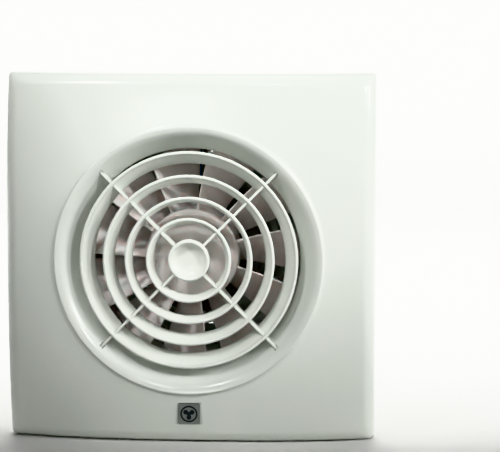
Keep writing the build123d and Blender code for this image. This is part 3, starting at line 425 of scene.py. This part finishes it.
def dish_profile():
    """Section of the dish: raised round rim, hollow face curved like a saucer, flat back."""
    rim = dish_radius
    hollow = np.linspace(0, 1, 10)
    face = np.stack([hollow * (rim - 1.7 * MM), ring_front + 2.9 * MM - 2.2 * MM * hollow**4], 1)
    lip = arc_points((rim - 0.85 * MM, ring_front + 0.65 * MM), (0.85 * MM, -0.85 * MM), 180, 0, 9)
    back = [(rim - 0.2 * MM, ring_front + 4.4 * MM), (rim - 0.8 * MM, ring_front + 5.0 * MM),
            (0, ring_front + 5.0 * MM)]
    return np.vstack([face, lip, back])


def spoke(turn):
    """A thin plate with rounded edges, carried out along a radius; its sections are rounded
    boxes and its outer end leans with the funnel, so that it plugs squarely into its slot."""
    half_thick, front, back = 0.6 * MM, ring_front + 0.9 * MM, ring_front + 6.5 * MM
    around = np.linspace(0, 2 * math.pi, 20, endpoint=False)
    power = 0.35
    across = half_thick * np.sign(np.cos(around)) * np.abs(np.cos(around)) ** power
    bulge = np.sign(np.sin(around)) * np.abs(np.sin(around)) ** power
    depth = (front + back) / 2 + (back - front) / 2 * bulge
    lean = (funnel_radius - throat_radius) / (throat_y - (-cover_crown + slot_drop))
    tip = funnel_radius + spoke_insert - lean * (depth + cover_crown - slot_drop)
    share = np.linspace(0, 1, 6)[:, None]
    radius = (dish_radius - 1.0 * MM) * (1 - share) + tip * share
    x = radius * math.cos(turn) - across * math.sin(turn)
    z = radius * math.sin(turn) + across * math.cos(turn)
    rows = np.stack([x, np.broadcast_to(depth, x.shape), z], -1)
    mesh = surface_mesh("spoke", rows, False, True)
    points = rows.reshape(-1, 3).tolist()
    count = around.size
    faces = [tuple(face.vertices) for face in mesh.polygons]
    faces += [tuple(range(count)), tuple(reversed(range(5 * count, 6 * count)))]
    bpy.data.meshes.remove(mesh)
    closed = bpy.data.meshes.new("spoke")
    closed.from_pydata(points, [], faces)
    return closed


grille_shells = [lathe("ring", ring_profile(outer, inner), 160)
                 for outer, inner in zip(ring_fronts, ring_backs)]
grille_shells.append(solid_lathe("dish", dish_profile(), 96))
grille_shells += [spoke(turn) for turn in spoke_turns]
grille_mesh = merge("inlet_ring_grille", grille_shells)
grille_mesh.set_sharp_from_angle(angle=math.radians(40))
grille_abs = moulded("moulded_white_abs", "#E2E5DE", "#DDE1DA", 0.24, 0.3, 0.008)
grille_mesh.materials.append(grille_abs)
show("inlet_ring_grille", grille_mesh, "cover", "cover_plastic", "ring_grille")

# ---------------------------------------------------------------- badge
# A square of thin aluminium glued into a pocket below the inlet, with a dark raised
# propeller sign in a ring.

badge_metal, shader = new_material("satin_aluminium", Metallic=1.0, Roughness=0.36)
place = add_node(badge_metal, "ShaderNodeTexCoord").outputs["Object"]
brushed = add_node(badge_metal, "ShaderNodeMapping", [("Vector", place), ("Scale", (200.0, 2000.0, 9000.0))])
lines = add_node(badge_metal, "ShaderNodeTexNoise", [("Vector", brushed.outputs["Vector"]), ("Scale", 1.0)])
tone = add_node(badge_metal, "ShaderNodeValToRGB", [("Fac", lines.outputs["Fac"])])
tone.color_ramp.elements[0].color = linear("#8F9492")
tone.color_ramp.elements[1].color = linear("#B9BDBB")
join(badge_metal, tone.outputs["Color"], shader, "Base Color")
spread = add_node(badge_metal, "ShaderNodeMapRange",
                  [("Value", lines.outputs["Fac"]), ("To Min", 0.30), ("To Max", 0.45)])
join(badge_metal, spread.outputs["Result"], shader, "Roughness")
nodes["badge_plate"].data.materials[0] = badge_metal

badge_ink = moulded("dark_raised_enamel", "#20262A", "#171B1E", 0.30, 0.2, 0.003)
nodes["badge_emblem"].data.materials[0] = badge_ink

# ---------------------------------------------------------------- impeller
# Eleven blades round a domed hub in one moulding of milky translucent polypropylene, pressed
# on the motor shaft.  Light that comes through the thin blades turns faintly pink.

blade_low, blade_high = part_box("impeller")
tip_radius = blade_high.x
hub_radius = 20.0 * MM
blade_front, blade_back = -6.0 * MM, 12.0 * MM
blade_count = 11
blade_turn = 2 * math.pi / blade_count
blade_chord = 0.8 * blade_turn            # the rest of the pitch is open
first_blade = math.radians(9.0)


def blade(number):
    """A blade as closed sections stacked from hub to tip.  Along the chord the section turns
    evenly clockwise while it runs back, with a little camber; its two faces stand half a
    thickness off the chord line, thin at both edges, and the tip is rounded off."""
    chord = np.linspace(0, 2 * math.pi, 48, endpoint=False)
    share = (1 - np.cos(chord)) / 2
    side = np.where(chord < math.pi, 1.0, -1.0)
    spans = np.array([0.0, 0.06, 0.15, 0.3, 0.45, 0.6, 0.75, 0.88, 0.96, 1.0])[:, None]
    radius = (hub_radius - 0.6 * MM) * (1 - spans) + tip_radius * spans
    turn = first_blade + blade_turn * number + blade_chord * share - 0.05 * (1 - spans) * (1 - share)
    length = blade_back - blade_front
    y = blade_front + length * share + 0.10 * length * np.sin(math.pi * share) + 0 * spans
    thick = (0.75 * MM - 0.2 * MM * spans) * (0.35 + 1.3 * np.sqrt(share * (1 - share)))
    root = 1 + 1.2 * np.exp(-spans / 0.05)
    thick = np.where(spans >= 0.999, 0.25, 1.0) * thick * root
    slope = np.arctan2(length, radius * blade_chord)
    across = side * thick
    y = y + across * np.cos(slope)
    turn = turn - across * np.sin(slope) / radius
    points = np.stack([radius * np.sin(turn), y, radius * np.cos(turn)], -1)
    mesh = surface_mesh("blade", points, False, True)
    faces = [tuple(face.vertices) for face in mesh.polygons]
    count, last = chord.size, (len(spans) - 1) * chord.size
    faces += [tuple(range(count)), tuple(reversed(range(last, last + count)))]
    bpy.data.meshes.remove(mesh)
    closed = bpy.data.meshes.new("blade")
    closed.from_pydata(points.reshape(-1, 3).tolist(), [], faces)
    return closed


def hub_profile():
    """Section of the hub: a shallow dome that rounds over into a cylinder, open at the back,
    with its wall's inside and the boss for the shaft."""
    nose = blade_low.y
    rise = np.linspace(0, 1, 14)
    face = np.stack([rise * (hub_radius - 1.5 * MM), nose + 4.2 * MM * rise**2.2], 1)
    edge = arc_points((hub_radius - 1.5 * MM, nose + 5.7 * MM), (1.5 * MM, 1.5 * MM), -80, 0, 8)
    wall = 1.6 * MM
    inside = [(hub_radius, blade_back - 0.3 * MM), (hub_radius - 0.3 * MM, blade_back),
              (hub_radius - wall, blade_back), (hub_radius - wall, nose + 7.5 * MM),
              (5.5 * MM, nose + 3.0 * MM), (5.5 * MM, blade_back + 1.0 * MM), (0, blade_back + 1.0 * MM)]
    return np.vstack([face, edge, inside])


impeller_shells = [solid_lathe("hub", hub_profile(), 120)]
impeller_shells += [blade(number) for number in range(blade_count)]
impeller_mesh = merge("impeller_moulding", impeller_shells)
impeller_mesh.set_sharp_from_angle(angle=math.radians(45))
milky = moulded("milky_polypropylene", "#E4DDDB", "#DCD4D1", 0.30, 0.4, 0.01,
                Subsurface_Weight=0.35, Subsurface_Radius=(1.0, 0.55, 0.5), Subsurface_Scale=2.0 * MM)
impeller_mesh.materials.append(milky)
show("impeller_moulding", impeller_mesh, "rotor", "impeller_plastic", "impeller")

# ---------------------------------------------------------------- base housing
# Wall plate, inlet ring, duct spigot, motor cradle and shutter ledge are one white ABS
# moulding.  It isn't polished like the cover: the tool leaves it half gloss.

base_abs = moulded("half_gloss_white_abs", "#E6E9E4", "#DFE3DE", 0.30, 0.35, 0.012)
for name in ("base_plate", "duct_tube", "motor_cradle", "terminal_cover"):
    nodes[name].data.materials[0] = base_abs

# A thin web moulded upstream of each pin boss covers the flaps' notch, so that no draught
# and no light passes it when the flaps are shut.
web_front, web_back = 61.0 * MM, 62.1 * MM
web_z = 43.1 * MM
web_size = (11.0 * MM, web_back - web_front, 4.4 * MM)
web_boxes = [box_cutter((0, (web_front + web_back) / 2, side * web_z), web_size) for side in (-1, 1)]
web_mesh = bpy.data.meshes.new("boss_webs")
web_mesh.from_pydata(np.concatenate(web_boxes).tolist(), [],
                     [tuple(8 * i + c for c in face) for i in range(2) for face in BOX_FACES])
web_mesh.materials.append(base_abs)
show("boss_webs", web_mesh, "housing", "base_plastic")

# ---------------------------------------------------------------- shutter
# Two thin polypropylene flaps on a ground steel pin close the duct when the fan is off.

flap_plastic = moulded("thin_white_polypropylene", "#E2E4DE", "#DADDD7", 0.38, 0.5, 0.02)
for name in ("shutter_flap_left", "shutter_flap_right"):
    nodes[name].data.materials[0] = flap_plastic


def metal(name, light, dark, rough, scratch_mm, stretch=(1.0, 1.0, 1.0)):
    """A bare metal: tone and roughness follow fine tool marks, drawn out along one axis."""
    material, shader = new_material(name, Metallic=1.0)
    place = add_node(material, "ShaderNodeTexCoord").outputs["Object"]
    drawn = add_node(material, "ShaderNodeMapping", [("Vector", place), ("Scale", stretch)])
    marks = add_node(material, "ShaderNodeTexNoise",
                     [("Vector", drawn.outputs["Vector"]), ("Scale", 1 / (scratch_mm * MM)), ("Detail", 4.0)])
    tone = add_node(material, "ShaderNodeValToRGB", [("Fac", marks.outputs["Fac"])])
    tone.color_ramp.elements[0].color = linear(dark)
    tone.color_ramp.elements[1].color = linear(light)
    join(material, tone.outputs["Color"], shader, "Base Color")
    spread = add_node(material, "ShaderNodeMapRange",
                      [("Value", marks.outputs["Fac"]), ("To Min", rough * 0.8), ("To Max", rough * 1.25)])
    join(material, spread.outputs["Result"], shader, "Roughness")
    bump = add_node(material, "ShaderNodeBump",
                    [("Height", marks.outputs["Fac"]), ("Distance", 0.004 * MM), ("Strength", 0.4)])
    join(material, bump.outputs["Normal"], shader, "Normal")
    return material


ground_steel = metal("ground_steel", "#C9CBCC", "#A9ACAE", 0.28, 0.25, (1.0, 1.0, 0.15))
spring_steel = metal("spring_steel", "#A7A9AC", "#85888C", 0.34, 0.3)
for name, finish in (("shutter_pin", ground_steel), ("motor_shaft", ground_steel),
                     ("shutter_springs", spring_steel), ("impeller_clip", spring_steel)):
    nodes[name].data.materials[0] = finish

# ---------------------------------------------------------------- motor
# The shaded-pole motor: two half shells of black glass-filled nylon held by three screws,
# laminated steel cores, enamelled copper coils on nylon bobbins and a cast aluminium cage.

motor_nylon = moulded("glass_filled_nylon", "#35322F", "#2A2826", 0.48, 0.25, 0.03)
natural_nylon = moulded("natural_nylon", "#DEDACB", "#D5D0C0", 0.42, 0.3, 0.015)
laminated = metal("laminated_steel", "#74777B", "#4C4F54", 0.42, 0.5, (0.02, 1.0, 0.02))
copper = metal("enamelled_copper", "#C4703F", "#8E4625", 0.30, 0.35, (1.0, 0.1, 0.1))
cast_aluminium = metal("cast_aluminium", "#C3C5C7", "#A5A8AB", 0.45, 0.6)
bearing_steel = metal("polished_bearing_steel", "#DADCDD", "#C4C7C9", 0.12, 0.4)
zinc_plate = metal("zinc_plated_steel", "#C6C9CC", "#9DA2A8", 0.30, 0.5)
brass = metal("turned_brass", "#D4AE5A", "#B58E3C", 0.28, 0.25)
sleeve = moulded("sleeved_cut_out", "#D8D5C8", "#CBC7B8", 0.35, 0.3, 0.01)
finishes = {
    "motor_front_shell": motor_nylon, "motor_rear_shell": motor_nylon, "motor_tie_screws": zinc_plate,
    "stator_core": laminated, "rotor_core": laminated, "rotor_cage": cast_aluminium,
    "coil_bobbins": natural_nylon, "copper_windings": copper, "shading_rings": copper,
    "thermal_fuse": sleeve, "front_outer_race": bearing_steel, "front_inner_race": bearing_steel,
    "front_ball_set": bearing_steel, "rear_outer_race": bearing_steel,
    "rear_inner_race": bearing_steel, "rear_ball_set": bearing_steel,
}
for name, finish in finishes.items():
    nodes[name].data.materials[0] = finish

# ---------------------------------------------------------------- rubber parts
# Mounts, grommet and bush are soft black rubber with a dusty, slightly uneven surface.

rubber = moulded("soft_black_rubber", "#2B2A29", "#1F1E1E", 0.62, 0.5, 0.03)
for name in ("elastic_mount_1", "elastic_mount_2", "elastic_mount_3", "cable_grommet", "lead_grommet"):
    nodes[name].data.materials[0] = rubber

# ---------------------------------------------------------------- wiring
# Terminal block and clamp are natural nylon with brass and zinc-plated screws; the leads
# have smooth PVC insulation in brown and blue.

brown_pvc = moulded("brown_pvc", "#5A3420", "#4B2A19", 0.36, 0.6, 0.006)
blue_pvc = moulded("blue_pvc", "#2A5C9E", "#224E8A", 0.36, 0.6, 0.006)
for name, finish in (("terminal_block", natural_nylon), ("cable_clamp", natural_nylon),
                     ("terminal_screws", brass), ("clamp_screws", zinc_plate),
                     ("terminal_cover_screw", zinc_plate),
                     ("motor_lead_brown", brown_pvc), ("motor_lead_blue", blue_pvc)):
    nodes[name].data.materials[0] = finish

# ---------------------------------------------------------------- floor, light and camera
# A plain pale floor curves up into a backdrop behind the fan.  A small lamp skims the face from
# the right, two soft spots high on either side shade it from top to bottom, a narrow spot
# reaches into the inlet and a window is mirrored in the gloss.  The floor has lamps of its own.


def backdrop():
    """A floor that bends up behind the fan: flat, then a quarter circle, then a wall."""
    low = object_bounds()[0][2] - 0.2 * MM
    bend, start, top = 1.0, 1.6, 4.0
    turn = np.radians(np.linspace(0, 90, 25))
    y = np.concatenate([[-5.0], start + bend * np.sin(turn), [start + bend]])
    z = np.concatenate([[low], low + bend * (1 - np.cos(turn)), [top]])
    x = np.linspace(-6.0, 6.0, 2)
    points = np.stack(np.broadcast_arrays(x[None, :], y[:, None], z[:, None]), -1)
    return surface_mesh("backdrop", points, False, False)


backdrop_mesh = backdrop()
backdrop_mesh.flip_normals()
backdrop_paint, shader = new_material("pale_paper", Roughness=0.7, Base_Color=linear("#DADAD8"))
shader.inputs["Specular IOR Level"].default_value = 0.1
backdrop_mesh.materials.append(backdrop_paint)
backdrop_object = bpy.data.objects.new("backdrop", backdrop_mesh)
bpy.context.scene.collection.objects.link(backdrop_object)
backdrop_object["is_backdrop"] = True


def hang(name, data, place, aim):
    """A lamp object at a place, turned to an aim point."""
    lamp = bpy.data.objects.new(name, data)
    lamp.location = place
    lamp.rotation_euler = (Vector(aim) - Vector(place)).to_track_quat("-Z", "Y").to_euler()
    bpy.context.scene.collection.objects.link(lamp)


def soft_light(name, place, aim, size, power, colour="#FFFFFF", spread=180):
    """A rectangular area light; spread is the full angle of its beam in degrees."""
    data = bpy.data.lights.new(name, "AREA")
    data.shape = "RECTANGLE"
    data.size, data.size_y = size
    data.energy = power
    data.spread = math.radians(spread)
    data.color = linear(colour)[:3]
    hang(name, data, place, aim)


soft_light("skim_right", (1.15, -0.30, 0.45), (0.0, 0.0, 0.0), (0.25, 0.25), 8.2)
soft_light("window", (-0.20, -1.59, 0.31), (0.0, 0.0, 0.06), (0.22, 0.33), 3.2, "#FDFFFB")
soft_light("backdrop_lamp", (0.0, 1.2, 2.6), (0.0, 2.2, 0.2), (3.0, 0.8), 170, spread=90)
soft_light("floor_lamp", (0.0, 0.43, 0.95), (0.0, 0.43, 0.0), (2.6, 0.55), 26, spread=30)


def soft_spot(name, place, aim, cone, power):
    """A spot lamp with a wide soft cone: bright in the middle, fading smoothly to its rim."""
    data = bpy.data.lights.new(name, "SPOT")
    data.spot_size = math.radians(cone)
    data.spot_blend = 1.0
    data.shadow_soft_size = 0.06
    data.energy = power
    hang(name, data, place, aim)


soft_spot("spot_right", (0.80, -0.60, 0.55), (0.085, 0.0, 0.085), 16.5, 42.0)
soft_spot("spot_left", (-0.36, -0.66, 0.90), (-0.01, 0.0, 0.098), 13.5, 52.0)
soft_spot("inlet_spot", (0.10, -0.85, 0.75), (0.0, 0.0, -0.006), 5.6, 34.0)

world = bpy.data.worlds.new("studio")
world.use_nodes = True
world.node_tree.nodes["Background"].inputs["Color"].default_value = linear("#E9F2EC")
world.node_tree.nodes["Background"].inputs["Strength"].default_value = 0.03
bpy.context.scene.world = world
bpy.context.scene.view_settings.view_transform = "Khronos PBR Neutral"

camera_data = bpy.data.cameras.new("camera")
camera_data.lens = 168.7
camera_data.sensor_width = 36.0
camera_data.clip_end = 20.0
camera = bpy.data.objects.new("camera", camera_data)
camera.location = (0.0958, -1.0037, 0.1367)
camera.rotation_euler = (math.radians(90 - 7.063), 0.0, math.radians(4.068))
bpy.context.scene.collection.objects.link(camera)
bpy.context.scene.camera = camera
